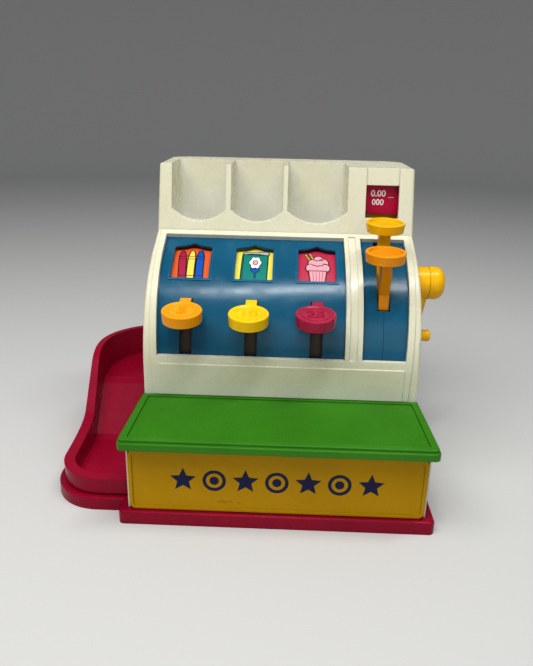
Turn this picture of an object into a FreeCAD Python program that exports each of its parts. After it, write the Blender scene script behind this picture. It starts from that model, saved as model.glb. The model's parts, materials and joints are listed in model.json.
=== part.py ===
"""Toy cash register: housing, keys, levers, drawer, crank, bell and coin tray.

Millimetres. +X is the register's right, -Y is towards the child, +Z is up.
The origin is on the underside of the base plate, on the housing's middle line.
"""
import FreeCAD, Part
import math
import os

V = FreeCAD.Vector

# ---- driving dimensions -------------------------------------------------
BODY_HALF = 108.0           # half the housing's width
TOP_HALF = 107.0            # the same at the top, after the side draft
BODY_TOP = 242.8            # height of the housing's top
REAR_Y = 110.0              # back of the housing
REAR_R = 22.0               # rounding of its rear corners
WALL = 3.0                  # housing wall
BASE_TOP = 10.4             # top of the base plate
AXLE_Y, AXLE_Z = 35.0, 95.5     # key axle, also the centre of the curved front
FRAME_R = 88.8              # radius of the curved side frames
FRAME_END_DEG = 114.7       # where the round front becomes a straight slope
CREASE = (24.7, 188.6)      # (y, z) where the slope meets the top's face
TOP_FRONT_Y = 37.4          # top's front edge
AXLE_R = 2.0
RUN_GAP = 0.05              # radial clearance of every running fit
PANEL_T = 2.2               # teal panels
SLOT_HALF = 4.8             # half width of a key slot
COLUMNS = {"orange": -75.0, "yellow": -24.0, "red": 27.0}
CARDS = {"orange": "card_left", "yellow": "card_middle", "red": "card_right"}
CAP_TOP = {"orange": 145.6, "yellow": 144.6, "red": 145.6}   # centre of each cap's top
CAP_SHIFT = {"orange": -0.1, "yellow": -1.1, "red": -1.8}    # caps sit left of their slots
SLOT_TOP_DEG = 143.8        # top of the key slots, as an angle round the axle
LID_FRONT, LID_TOP = -132.8, 72.4
POST = (49.5, 63.0)         # x of the post between the two panels
OPEN_HALF = (96.9, 100.2)    # half width of the panel openings at their bottom and top
OPEN_LOW = 105.2            # bottom of both panel openings
DECK_Z = (62.2, 64.2)       # housing's roof over the drawer bay
DRAWER_HALF = 106.8
DRAWER_FRONT = -121.0
DRAWER_TOP = 59.2           # top of the drawer's front
LATCH_Y, LATCH_Z = 24.0, 57.0
DRAWER_BACK = 4.0
STOP_Y = 50.0               # face of the stop behind the drawer's spring
PROUD = 0.8                 # front frame stands proud of the side frames
SCREWS_XY = [(s * 102.2, y) for s in (-1, 1) for y in (16.0, 80.0)]     # base screws
LEVER_X = 79.0              # middle of the lever slot
CRANK_Y, CRANK_Z = 0.0, 109.5
CRANK_R = 46.0              # shaft to knob
LEVER_ROWS = (-29.0, -8.0)  # y of the two levers' feet
LEVER_SEAT = 84.0           # floor of the lever guide's sockets
LEVER_FOOT = 106.0          # underside of the push levers
HAMMER_Y, HAMMER_Z = 54.0, 70.0
BELL_XY = (76.0, 76.0)
RAMP_Y = (60.0, 90.0)       # outer sides of the coin ramp
KNOB_R = 13.5
TRAY_X = -170.0             # outer left side of the coin tray
HOPPERS = ((-96.5, -50.8), (-46.4, -2.3), (1.6, 52.0))
HOPPER_BACK = 80.0
SLOT_Y = (64.0, 74.0)       # front and back of the coin slots in the hoppers' floor
HOPPER_FLOOR = 188.5
HOPPER_WALL = 2.5
LID_HALF = (111.9, 109.4)   # half the counter lid's width at its front and back
BASE_HALF = 115.0           # half the base plate's width
BASE_FRONT = -124.6
SIGN = (67.2, 94.8, 202.6, 229.0)       # x0, x1, z0, z1
SIGN_LOW = 204.2            # lower edge of the sign card


# ---- helpers ------------------------------------------------------------
def box(x0, x1, y0, y1, z0, z1):
    return Part.makeBox(x1 - x0, y1 - y0, z1 - z0, V(x0, y0, z0))


def rod(radius, start, end):
    """A cylinder from one point to another."""
    a, b = V(*start), V(*end)
    return Part.makeCylinder(radius, (b - a).Length, a, b - a)


def face_of(points):
    return Part.Face(Part.makePolygon([V(*p) for p in points + points[:1]]))


def prism_x(yz, x0, x1):
    """A (y, z) polygon extruded along X."""
    return face_of([(x0, y, z) for y, z in yz]).extrude(V(x1 - x0, 0, 0))


def prism_y(xz, y0, y1):
    return face_of([(x, y0, z) for x, z in xz]).extrude(V(0, y1 - y0, 0))


def polar(radius, degrees):
    """(y, z) at a radius and angle about the key axle; 180 degrees points at the child."""
    a = math.radians(degrees)
    return AXLE_Y + radius * math.cos(a), AXLE_Z + radius * math.sin(a)


def sector(r0, r1, a0, a1, x0, x1):
    """A ring sector about the key axle."""
    ring = Part.makeCylinder(r1, x1 - x0, V(x0, AXLE_Y, AXLE_Z), V(1, 0, 0))
    if r0 > 0:
        ring = ring.cut(Part.makeCylinder(r0, x1 - x0, V(x0, AXLE_Y, AXLE_Z), V(1, 0, 0)))
    far = 2 * r1
    steps = 4
    fan = [polar(far, a0 + (a1 - a0) * i / steps) for i in range(steps + 1)]
    return ring.common(prism_x([(AXLE_Y, AXLE_Z)] + fan, x0, x1))


def soften(shape, radius, test):
    """Fillet the edges whose middle point passes the test."""
    edges = [e for e in shape.Edges if test(e.valueAt((e.FirstParameter + e.LastParameter) / 2))]
    return shape.makeFillet(radius, edges)


def spring(radius, wire, start, height, turns):
    """A coil spring of six-sided wire standing along Z, with its end coils on the two seats."""
    x, y, z = start
    rise = height - 2 * wire
    helix = Part.makeHelix(rise / turns, rise, radius)
    turn = math.pi / 3
    corners = [V(radius + wire * math.cos(turn * i), 0, wire * math.sin(turn * i)) for i in range(6)]
    profile = Part.makePolygon(corners + corners[:1])
    coil = Part.Wire(helix.Edges).makePipeShell([profile], True, True)
    coil.translate(V(x, y, z + wire))
    return coil


def save(name, *solids):
    shape = solids[0] if len(solids) == 1 else Part.makeCompound(list(solids))
    shape = shape.removeSplitter()
    shape.exportStep("parts/" + name + ".step")


# ---- side outline of the housing ---------------------------------------
def slope_point(along, inset):
    """A (y, z) on the straight slope, measured from the crease down, set in from the surface."""
    t = math.radians(FRAME_END_DEG - 90)
    y = CREASE[0] - along * math.cos(t) + inset * math.sin(t)
    z = CREASE[1] - along * math.sin(t) - inset * math.cos(t)
    return y, z


def outline_face(inset, low, x=0.0):
    """The housing's side outline as a face, set in by inset, with its bottom at low."""
    r = FRAME_R - inset
    start = polar(r, FRAME_END_DEG)
    middle = polar(r, (180 + FRAME_END_DEG) / 2)
    lean = math.atan2(TOP_FRONT_Y - CREASE[0], BODY_TOP - CREASE[1])
    top = BODY_TOP - inset
    crease = slope_point(-inset * 0.35, inset)
    front_y = TOP_FRONT_Y - inset * math.tan(lean) + inset / math.cos(lean)
    arc = Part.Arc(V(x, AXLE_Y - r, AXLE_Z), V(x, *middle), V(x, *start)).toShape()
    path = [(x, *start), (x, *crease), (x, front_y, top), (x, REAR_Y - inset, top),
            (x, REAR_Y - inset, low), (x, AXLE_Y - r, low), (x, AXLE_Y - r, AXLE_Z)]
    lines = [Part.makeLine(V(*a), V(*b)) for a, b in zip(path, path[1:])]
    return Part.Face(Part.Wire([arc] + lines))


def body_solid(inset, low):
    """The housing's outer form, set in on every side by inset."""
    half, top_half = BODY_HALF - inset, TOP_HALF - inset
    shape = outline_face(inset, low, -half).extrude(V(2 * half, 0, 0))
    draft = [(-half, low - 1), (-half, CREASE[1]), (-top_half, BODY_TOP + 1),
             (top_half, BODY_TOP + 1), (half, CREASE[1]), (half, low - 1)]
    shape = shape.common(prism_y(draft, -200, 200))
    plan = box(-half, half, -200, REAR_Y - inset, low - 1, BODY_TOP + 1)
    corner = REAR_R - inset
    plan = soften(plan, corner, lambda p: p.y > REAR_Y - inset - 1 and abs(abs(p.x) - half) < 1)
    return shape.common(plan)


# ---- housing ------------------------------------------------------------
def panel_opening(x0, x1):
    """The space that a teal panel shows through."""
    top_in = slope_point(6.0, 12.0)
    top_out = slope_point(6.0, -30.0)
    span = prism_x([(-30, OPEN_LOW), (-90, OPEN_LOW), (-90, top_out[1]), top_out, top_in, (0, 150)], x0, x1)
    low, high = OPEN_HALF
    splay = [(-low, OPEN_LOW - 1), (-high, CREASE[1] + 20), (high, CREASE[1] + 20), (low, OPEN_LOW - 1)]
    return span.common(prism_y(splay, -120, 60))


def hopper_cavity(x0, x1):
    """A coin hopper: square at the top, with a round back lower down, open at the front."""
    def ring(z, r, back):
        y0 = 20.0
        corner = r * (1 - math.sqrt(0.5))
        pts = [V(x0, y0, z), V(x1, y0, z), V(x1, back - r, z), V(x1 - r, back, z), V(x0 + r, back, z),
               V(x0, back - r, z)]
        right = Part.Arc(pts[2], V(x1 - corner, back - corner, z), pts[3]).toShape()
        left = Part.Arc(pts[4], V(x0 + corner, back - corner, z), pts[5]).toShape()
        return Part.Wire([Part.makeLine(pts[0], pts[1]), Part.makeLine(pts[1], pts[2]), right,
                          Part.makeLine(pts[3], pts[4]), left, Part.makeLine(pts[5], pts[0])])
    middle = (x0 + x1) / 2
    rings = [ring(BODY_TOP + 1, 1.5, HOPPER_BACK), ring(HOPPER_FLOOR, 8.0, HOPPER_BACK - 2)]
    upper = Part.makeLoft(rings, True, True)
    low, side = 196.4, 206.2
    lip = Part.Wire([Part.Arc(V(x0, 0, side), V(middle, 0, low), V(x1, 0, side)).toShape(),
                     Part.makeLine(V(x1, 0, side), V(x1, 0, BODY_TOP + 9)),
                     Part.makeLine(V(x1, 0, BODY_TOP + 9), V(x0, 0, BODY_TOP + 9)),
                     Part.makeLine(V(x0, 0, BODY_TOP + 9), V(x0, 0, side))])
    mouth = Part.Face(lip).extrude(V(0, 60, 0))
    behind_lip = prism_x([(32.0, HOPPER_FLOOR), (43.0, BODY_TOP + 1), (120, BODY_TOP + 1),
                          (120, HOPPER_FLOOR)], x0, x1)
    return upper.common(mouth.fuse(behind_lip))


def hopper_block(low, high, inset):
    """The block that the hoppers are sunk in, between two heights."""
    x0, x1 = HOPPERS[0][0] - HOPPER_WALL, HOPPERS[2][1] + HOPPER_WALL
    block = box(x0, x1, 26, HOPPER_BACK + HOPPER_WALL, low, high)
    return block.common(body_solid(inset, BASE_TOP))


def hopper_floor():
    """The plate under the three hoppers, with a slot in each that drops a coin to the ramp."""
    floor = hopper_block(HOPPER_FLOOR - HOPPER_WALL, HOPPER_FLOOR, WALL)
    for x0, x1 in HOPPERS:
        floor = floor.cut(box(x0 + 12, x1 - 12, *SLOT_Y, HOPPER_FLOOR - 6, HOPPER_FLOOR + 1))
    return floor


def housing():
    shell = body_solid(0, BASE_TOP)
    shell = shell.makeFillet(2.0, front_rim_edges(shell))
    shell = shell.cut(body_solid(WALL, BASE_TOP - 5))
    shell = shell.fuse(hopper_block(HOPPER_FLOOR, BODY_TOP - 1, 1.0))
    for x0, x1 in HOPPERS:
        shell = shell.cut(hopper_cavity(x0, x1))
    shell = shell.fuse(front_frame())
    shell = shell.cut(panel_opening(-BODY_HALF, POST[0])).cut(panel_opening(POST[1], BODY_HALF))
    x0, x1, z0, z1 = SIGN
    shell = shell.cut(box(x0, x1, 20, 45, z0, z1))
    shell = shell.cut(sign_groove())
    shell = shell.cut(box(-DRAWER_HALF - 0.4, DRAWER_HALF + 0.4, -90, -45, 0, DECK_Z[0]))
    shell = shell.cut(box(-BODY_HALF - 1, -BODY_HALF + WALL + 1, RAMP_Y[0], RAMP_Y[1], DECK_Z[1], 84))
    shell = shell.cut(rod(4.0 + RUN_GAP, (BODY_HALF - 9, CRANK_Y, CRANK_Z),
                          (BODY_HALF + 3, CRANK_Y, CRANK_Z)))
    shell = shell.cut(box(-78, 78, REAR_Y - WALL - 1, REAR_Y + 1, 24, 176))
    for part in bay_walls() + cover_bosses() + base_bosses():
        shell = shell.fuse(part)
    lower_plate = box(-96.4, 96.4, AXLE_Y - FRAME_R - PROUD - 0.7, AXLE_Y - FRAME_R + 1,
                      LID_TOP + 0.2, 99)
    lower_plate = soften(lower_plate, 0.5, lambda p: p.y < AXLE_Y - FRAME_R - PROUD - 0.69)
    return shell.fuse(lower_plate)


def front_frame():
    """The raised frame round the teal panels, with the groove down its post."""
    half = 105.0
    skin = outline_face(-PROUD, 50, -half).extrude(V(2 * half, 0, 0))
    skin = skin.cut(outline_face(1.0, 49, -half).extrude(V(2 * half, 0, 0)))
    low, crease_in = LID_TOP + 0.2, slope_point(0, 20)
    keep = prism_x([(-90, low), (-90, 260), slope_point(0, -40), crease_in, (0, 120), (-30, low)],
                   -half, half)
    splay = [(-101.0, low - 1), (-104.6, CREASE[1] + 2), (104.6, CREASE[1] + 2), (101.0, low - 1)]
    frame = skin.common(keep).common(prism_y(splay, -120, 60))
    groove = outline_face(-3, 50, POST[0] + 3.5).extrude(V(6.0, 0, 0))
    groove = groove.cut(outline_face(0.3, 49, POST[0] + 3.5).extrude(V(6.0, 0, 0)))
    top = slope_point(4.0, -20)
    span = prism_x([(-90, OPEN_LOW), (-90, 260), top, slope_point(4.0, 20), (0, 150),
                    (-30, OPEN_LOW)], 50, 64)
    return frame.cut(groove.common(span))


def front_rim_edges(shell):
    """The two long outlines of the side frames, from the lid up over the top."""
    edges = []
    for e in shell.Edges:
        p = e.valueAt((e.FirstParameter + e.LastParameter) / 2)
        on_side = abs(p.x) > TOP_HALF - 1
        level = abs(e.tangentAt(e.FirstParameter).x) < 0.2
        if on_side and level and p.z > BASE_TOP + 1 and p.y < REAR_Y - REAR_R - 1:
            edges.append(e)
    return edges


def sign_groove():
    """The shallow groove from the sign window up to the top edge."""
    lean = (TOP_FRONT_Y - CREASE[0]) / (BODY_TOP - CREASE[1])
    y0 = CREASE[0] + lean * (SIGN[3] - CREASE[1])
    y1 = TOP_FRONT_Y
    return prism_x([(y0 - 9, SIGN[3] - 1), (y0 + 1.2, SIGN[3] - 1), (y1 + 1.6, BODY_TOP + 1),
                    (y1 - 9, BODY_TOP + 1)], SIGN[0], SIGN[1])


def bay_walls():
    """Thin walls beside the drawer and the roof that the counter lid sits on."""
    roof = box(-BODY_HALF, BODY_HALF, -117.0, AXLE_Y - FRAME_R + WALL, *DECK_Z)
    walls = [box(*sorted((s * (DRAWER_HALF + 0.4), s * (BODY_HALF + 0.5))), -118.5, AXLE_Y - FRAME_R + 1,
                 BASE_TOP, DECK_Z[1]) for s in (-1, 1)]
    lip = box(-DRAWER_HALF - 1, DRAWER_HALF + 1, -116.6, -113.8, DRAWER_TOP + 0.5, DECK_Z[0] + 0.1)
    return [roof, lip] + walls


def cover_bosses():
    """Ledges behind the rear cover with the blind holes for its screws."""
    parts = []
    for x in (-72, 72):
        for z in (32, 168):
            lug = box(*sorted((x - 6, x + math.copysign(14, x))), REAR_Y - 10, REAR_Y - WALL, z - 7, z + 7)
            parts.append(lug.cut(rod(1.5, (x, REAR_Y - 10, z), (x, REAR_Y - WALL, z))))
    return parts


def base_bosses():
    """Posts down the housing's sides that the base screws bite into."""
    parts = []
    for x, y in SCREWS_XY:
        post = rod(3.6, (x, y, BASE_TOP), (x, y, 60))
        web = box(*sorted((x, math.copysign(BODY_HALF - WALL + 0.5, x))), y - 2, y + 2, BASE_TOP, 60)
        parts.append(post.fuse(web).cut(rod(1.4, (x, y, BASE_TOP), (x, y, 24))))
    return parts


def rear_cover():
    plate = box(-77.6, 77.6, REAR_Y - WALL, REAR_Y, 24.4, 175.6)
    plate = soften(plate, 4.0, lambda p: abs(abs(p.x) - 77.6) < 0.1 and not 26 < p.z < 174)
    for x in (-72, 72):
        for z in (32, 168):
            plate = plate.cut(rod(2.0, (x, REAR_Y - 5, z), (x, REAR_Y + 1, z)))
    for i in range(5):
        z = 70 + 14 * i
        plate = plate.cut(box(-30, 30, REAR_Y - 0.8, REAR_Y + 1, z, z + 2))
    return plate


def screw(head, tip):
    """A pan-head screw from its head's seat to its tip."""
    a, b = V(*head), V(*tip)
    out = (a - b).normalize()
    cap = Part.makeCylinder(3.2, 1.4, a, out)
    recess = Part.makeCylinder(1.2, 0.9, a + out * 0.5, out)
    return cap.fuse(rod(1.38, head, tip)).cut(recess)


def rear_cover_screws():
    return [screw((x, REAR_Y, z), (x, REAR_Y - 9, z)) for x in (-72, 72) for z in (32, 168)]


# ---- teal panels --------------------------------------------------------
def panel_sheet(x0, x1):
    """A curved sheet just behind the side frames' openings."""
    outer = outline_face(WALL, 50, x0).extrude(V(x1 - x0, 0, 0))
    inner = outline_face(WALL + PANEL_T, 49, x0).extrude(V(x1 - x0, 0, 0))
    end = slope_point(3.0, 0)
    keep = prism_x([(-80, OPEN_LOW - 4), (-80, 260), (end[0] - 30, 260), (end[0] + 3, end[1] - 12), (0, 150),
                    (-30, OPEN_LOW - 4)], x0, x1)
    return outer.cut(inner).common(keep)


def window_tool(x):
    """A picture window: a rectangle with a low gabled top, cut square to the slope."""
    low, high, apex, half = 55.5, 18.6, 13.4, 15.2
    outline = [(x - half, low), (x - half, high), (x - half * 0.45, high - 1.6), (x, apex),
               (x + half * 0.45, high - 1.6), (x + half, high), (x + half, low)]
    base = [(px, *slope_point(along, 22.0)) for px, along in outline]
    out = V(0, *slope_point(0, -20)) - V(0, *slope_point(0, 22))
    return face_of(base).extrude(out)


def key_slot(x):
    a = math.radians(SLOT_TOP_DEG)
    far = (AXLE_Y + 120 * math.cos(a), AXLE_Z + 120 * math.sin(a))
    near = (AXLE_Y + 70 * math.cos(a), AXLE_Z + 70 * math.sin(a))
    return prism_x([near, far, (-120, OPEN_LOW), (-30, OPEN_LOW)], x - SLOT_HALF, x + SLOT_HALF)


def key_panel():
    panel = panel_sheet(-OPEN_HALF[1] - 3, POST[0] + 3)
    for x in COLUMNS.values():
        panel = panel.cut(window_tool(x)).cut(key_slot(x))
    return panel


def lever_panel():
    panel = panel_sheet(POST[1] - 3, OPEN_HALF[1] + 3)
    top = slope_point(6.6, 0)
    slot = prism_x([(-60, 141), (-60, 220), (top[0], 220), (top[0] + 5, top[1] - 14), (-20, 141)],
                   LEVER_X - SLOT_HALF, LEVER_X + SLOT_HALF)
    return panel.cut(slot)


# ---- base, tray, lid ----------------------------------------------------
def base_plate():
    half, flange = BASE_HALF, -173.0
    main = soften(box(-half, half, BASE_FRONT, REAR_Y, 0, BASE_TOP), 4.0,
                  lambda p: abs(abs(p.x) - half) < 0.1 and abs(p.z - BASE_TOP / 2) < 1)
    wing = box(flange, -80, -108.8, 101, 0, BASE_TOP)
    wing = soften(wing, 37.0, lambda p: p.x < flange + 1 and p.y < -100 and abs(p.z - BASE_TOP / 2) < 1)
    wing = soften(wing, 56.0, lambda p: p.x < flange + 1 and p.y > 90 and abs(p.z - BASE_TOP / 2) < 1)
    plate = main.fuse(wing).removeSplitter()
    plate = plate.makeFillet(1.6, [e for e in plate.Edges if abs(e.BoundBox.ZMin - BASE_TOP) < 0.01])
    floor = 3.0
    for x0, x1 in ((-98, -35), (-31, 31), (35, 98)):
        for y0, y1 in ((-110, -58), (-54, 0), (4, 98)):
            plate = plate.cut(box(x0, x1, y0, y1, floor, BASE_TOP + 1))
    for x, y in SCREWS_XY:
        plate = plate.cut(rod(1.7, (x, y, -1), (x, y, BASE_TOP + 1)))
        plate = plate.cut(rod(3.6, (x, y, -1), (x, y, 4.0)))
    return plate


def base_screws():
    return [screw((x, y, 4.0), (x, y, 22.0)) for x, y in SCREWS_XY]


def tray_plan(inset, z):
    """The tray's plan outline at height z: straight left side, round front and rear corners."""
    left, front, back, right = TRAY_X + inset, -106.5 + inset, 99.0 - inset, -BODY_HALF - 0.6
    rf, rb = 35.0 - inset, 57.0 - inset
    c = 1 - math.sqrt(0.5)
    a, b = V(left + rf, front, z), V(left, front + rf, z)
    d, e = V(left, back - rb, z), V(left + rb, back, z)
    return Part.Wire([Part.makeLine(V(right, front, z), a),
                      Part.Arc(a, V(left + rf * c, front + rf * c, z), b).toShape(),
                      Part.makeLine(b, d),
                      Part.Arc(d, V(left + rb * c, back - rb * c, z), e).toShape(),
                      Part.makeLine(e, V(right, back, z)),
                      Part.makeLine(V(right, back, z), V(right, front, z))])


def rim_curve(rise):
    """(y, z) points of the tray's rim from front to back, lifted by rise; the ramp's ends are eased."""
    rim = [(-107, 24.5), (-69, 25.4), (-34, 27.0), (-24, 29.6), (-16, 35.0), (15, 69.5),
           (20, 74.6), (27, 77.6), (36, 78.2), (104, 78.2)]
    return [(y, z + rise) for y, z in rim]


def rim_block(rise, x0, x1):
    """Everything below the rim, with a smooth top."""
    pts = [V(x0, y, z) for y, z in rim_curve(rise)]
    runs = [Part.makeLine(pts[0], pts[1])]
    for i, j in ((1, 4), (5, 8)):
        curve = Part.BSplineCurve()
        curve.buildFromPolesMultsKnots(pts[i:j + 1], [4, 4], [0, 1], False, 3)
        runs.append(curve.toShape())
        runs.append(Part.makeLine(pts[j], pts[j + 1]))
    low = 0.0
    runs += [Part.makeLine(pts[-1], V(x0, pts[-1].y, low)),
             Part.makeLine(V(x0, pts[-1].y, low), V(x0, pts[0].y, low)),
             Part.makeLine(V(x0, pts[0].y, low), pts[0])]
    return Part.Face(Part.Wire(runs)).extrude(V(x1 - x0, 0, 0))


def tray_floor():
    """The space above the tray's floor: upper landing, ramp and coin pocket."""
    yz = [(-120, 13.0), (-25, 13.0), (-19, 15.2), (20, 47.0), (27, 50.6), (120, 54.0), (120, 120),
          (-120, 120)]
    return prism_x(yz, TRAY_X - 5, -BODY_HALF)


def coin_tray():
    low = BASE_TOP
    outer = Part.makeLoft([tray_plan(2.6, low), tray_plan(1.6, low + 1.5)], True, True)
    outer = outer.fuse(Part.makeLoft([tray_plan(1.6, low + 1.5), tray_plan(0.0, 80.0)], True, True))
    outer = outer.common(rim_block(0, TRAY_X - 5, -BODY_HALF - 0.6))
    cavity = Part.makeLoft([tray_plan(13.5, 8.0), tray_plan(10.5, 16.0), tray_plan(4.6, 92.0)], True, True)
    cavity = cavity.fuse(box(-112, -BODY_HALF, -96, 94, 8, 92))
    tray = outer.cut(cavity.common(tray_floor()))
    under = Part.makeLoft([tray_plan(6.0, low - 1), tray_plan(4.6, 70.0)], True, True)
    hollow = prism_x([(-15, low - 1), (13, 40.0), (26, 46.5), (96, 48.5), (96, low - 1)], TRAY_X,
                     -BODY_HALF - 3)
    return tray.cut(under.common(hollow))


def lid_slab(front_half, back_half, front, corner, low, high, round_top):
    """A slab a little narrower at the back, with rounded front corners and top edges."""
    back = AXLE_Y - FRAME_R - 0.1
    slab = face_of([(-front_half, front, low), (front_half, front, low), (back_half, back, low),
                    (-back_half, back, low)]).extrude(V(0, 0, high - low))
    slab = soften(slab, corner, lambda p: p.y < front + 0.1 and abs(p.z - (low + high) / 2) < 0.1)
    return slab.makeFillet(round_top, [e for e in slab.Edges if abs(e.BoundBox.ZMin - high) < 0.01])


def counter_lid():
    """A flat flange with a raised rim round a recessed field."""
    step, back = LID_TOP - 2.0, AXLE_Y - FRAME_R - 0.1
    front_half, back_half = LID_HALF
    lid = lid_slab(front_half, back_half, LID_FRONT, 4.5, DECK_Z[1], step, 0.8)
    lid = lid.fuse(lid_slab(front_half - 0.9, back_half - 0.6, LID_FRONT + 2.4, 3.5, step - 1,
                            LID_TOP, 0.7))
    x_front, x_back, z = front_half - 6.6, back_half - 5.8, LID_TOP - 1
    field = face_of([(-x_front, LID_FRONT + 7.4, z), (x_front, LID_FRONT + 7.4, z),
                     (x_back, back - 4.2, z), (-x_back, back - 4.2, z)])
    lid = lid.cut(field.extrude(V(0, 0, 3)))
    return lid.cut(box(-120, 120, LID_FRONT - 1, -119.5, DECK_Z[1] - 1, DECK_Z[1] + 0.8)).removeSplitter()


# ---- drawer -------------------------------------------------------------
def drawer():
    half, low, high = DRAWER_HALF, BASE_TOP + 0.6, DRAWER_TOP
    front = soften(box(-half, half, DRAWER_FRONT, DRAWER_FRONT + 4, low, high), 4.5,
                   lambda p: abs(abs(p.x) - half) < 0.1 and abs(p.y - DRAWER_FRONT - 2) < 0.1)
    rim = 2.6
    field = box(-half + rim, half - rim, DRAWER_FRONT - 1, DRAWER_FRONT + 0.8, low + rim, high - rim)
    field = soften(field, 2.2, lambda p: abs(abs(p.x) - half + rim) < 0.1
                   and abs(p.y - DRAWER_FRONT + 0.1) < 0.05)
    front = front.cut(field)
    inner = half - 2.4
    tub = box(-inner, inner, DRAWER_FRONT + 3, DRAWER_BACK, low, 56.0)
    tub = tub.fuse(front)
    top, wall = 70.0, 2.2
    bins = ((-inner + wall, -36.0), (-34.0, 34.0), (36.0, inner - wall))
    for x0, x1 in bins:
        tub = tub.cut(box(x0, x1, DRAWER_FRONT + 5, -50, low + 2.2, top))
        tub = tub.cut(box(x0, x1, -48, DRAWER_BACK - wall, low + 2.2, top))
    return tub.cut(box(-half, half, DRAWER_BACK - wall - 1, DRAWER_BACK + 1, 48.4, top))


def drawer_spring():
    """The spring between the drawer's back and the chassis's stop, with its axis along Y."""
    coil = spring(5.0, 0.5, (0, 0, 0), STOP_Y - DRAWER_BACK - 0.4, 9)
    coil.rotate(V(0, 0, 0), V(1, 0, 0), -90)
    coil.translate(V(0, DRAWER_BACK + 0.4, 34))
    return coil


def drawer_latch():
    """A hook under the deck, just above the drawer's low back wall."""
    y, z, tip = LATCH_Y, LATCH_Z, LATCH_Y - 26
    hook = prism_x([(tip, z - 7), (tip + 3.2, z - 7), (tip + 3.2, z - 3), (tip + 8, z - 2), (y, z - 2),
                    (y, z + 2.5), (tip, z + 2.5)], -4, 4)
    hub = rod(4.0, (-4, y, z), (4, y, z))
    return hook.fuse(hub).cut(rod(1.5 + RUN_GAP, (-5, y, z), (5, y, z)))


def latch_pin():
    return rod(1.5, (-9, LATCH_Y, LATCH_Z), (9, LATCH_Y, LATCH_Z))


# ---- chassis ------------------------------------------------------------
def chassis():
    """The inner deck with the axle's cheeks, the lever guide, the spring's stop and the small ears."""
    z0, z1 = DECK_Z[0] + 0.3, DECK_Z[1]
    back = REAR_Y - WALL - 0.4
    deck = box(-104.6, 104.6, AXLE_Y - FRAME_R + WALL + 0.4, back, z0, z1)
    deck = soften(deck, REAR_R, lambda p: p.y > back - 0.1 and abs(abs(p.x) - 104.6) < 0.1)
    parts = [deck, box(-8, 8, STOP_Y, STOP_Y + 3, 20, z0)]
    for x in (-102.0, 54.0):
        cheek = prism_x([(22, z0), (48, z0), (42, 102), (28, 102)], x, x + 3)
        parts.append(cheek.cut(rod(AXLE_R, (x - 1, AXLE_Y, AXLE_Z), (x + 4, AXLE_Y, AXLE_Z))))
    for x in (-9.0, 5.0):
        ear = box(x, x + 4, LATCH_Y - 4, LATCH_Y + 4, LATCH_Z - 4, z0)
        parts.append(ear.cut(rod(1.5, (x - 1, LATCH_Y, LATCH_Z), (x + 5, LATCH_Y, LATCH_Z))))
    for x in (86.0, 100.0):
        ear = box(x, x + 3, HAMMER_Y - 4, HAMMER_Y + 4, z0, HAMMER_Z + 4)
        parts.append(ear.cut(rod(1.2, (x - 1, HAMMER_Y, HAMMER_Z), (x + 4, HAMMER_Y, HAMMER_Z))))
    shape = lever_guide()
    for part in parts:
        shape = shape.fuse(part)
    return shape.removeSplitter()


def lever_guide():
    """A block with two square sockets, one per push lever, each with a spring below the lever's foot."""
    block = box(LEVER_X - 7, LEVER_X + 7, -36, -1, DECK_Z[0] + 0.3, 116)
    for y in LEVER_ROWS:
        block = block.cut(box(LEVER_X - 5, LEVER_X + 5, y - 5, y + 5, LEVER_SEAT, 117))
    return block


# ---- keys ---------------------------------------------------------------
def disc_cap(centre, tilt, height, dish, taper=0.4):
    """A coin-shaped cap whose top centre is given, leaning towards the child by tilt degrees."""
    r = 15.4
    cap = Part.makeCone(r - taper, r, height, V(0, 0, -height), V(0, 0, 1))
    cap = cap.makeFillet(0.9, [e for e in cap.Edges if e.BoundBox.ZMax < 0.01 and e.BoundBox.ZMin > -0.01])
    cap = cap.cut(Part.makeCone(r - 3.4, r - 2.4, dish, V(0, 0, -dish), V(0, 0, 1)))
    cap = cap.cut(Part.makeCylinder(r - 2.6, height - dish - 1.9, V(0, 0, -height), V(0, 0, 1)))
    cap.rotate(V(0, 0, 0), V(1, 0, 0), tilt)
    cap.translate(V(*centre))
    return cap


def key(color):
    """Cap, arm, shutter behind the windows, web and hub, moulded as one piece."""
    x = COLUMNS[color]
    arm = prism_x([(-66, 137.2), (-66, 141.9), (-50, 144.4), (-46, 147.4), (-40, 148.2), (-30.5, 141.8),
                   (-36, 134.5), (-47, 136.6)], x - 4.3, x + 4.3)
    shape = disc_cap((x + CAP_SHIFT[color], -62, CAP_TOP[color]), 8.0, 8.9, 0.7).fuse(arm)
    shape = shape.fuse(sector(79.6, 81.8, 84, 137, x - 19, x + 19))
    shape = shape.fuse(sector(79.6, 81.8, 130, 151.8, x - 7, x + 7))
    shape = shape.fuse(sector(79.6, 81.0, 151, 176, x - 7, x + 7))
    shape = shape.fuse(sector(0, 80.0, 84, 178, x - 1.5, x + 1.5).cut(sector(24, 66, 98, 160, x - 2, x + 2)))
    shape = shape.fuse(box(x - 6, x + 6, -16, -4, 93, 97))
    shape = shape.fuse(rod(6.0, (x - 9, AXLE_Y, AXLE_Z), (x + 9, AXLE_Y, AXLE_Z)))
    return shape.cut(rod(AXLE_R + RUN_GAP, (x - 10, AXLE_Y, AXLE_Z), (x + 10, AXLE_Y, AXLE_Z)))


def blind(x):
    """A dark strip on the key's shutter that shows through the slot below the arm."""
    return sector(81.0, 81.8, 152.2, 176, x - 7, x + 7)


def card(x):
    """A printed card wrapped on a key's shutter."""
    return sector(81.8, 82.2, 84.5, 136.0, x - 18.5, x + 18.5)


def key_axle():
    return rod(AXLE_R, (-102.0, AXLE_Y, AXLE_Z), (57.0, AXLE_Y, AXLE_Z))


def key_spring(x):
    return spring(3.6, 0.45, (x, -10, DECK_Z[1]), 93 - DECK_Z[1], 8)


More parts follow.
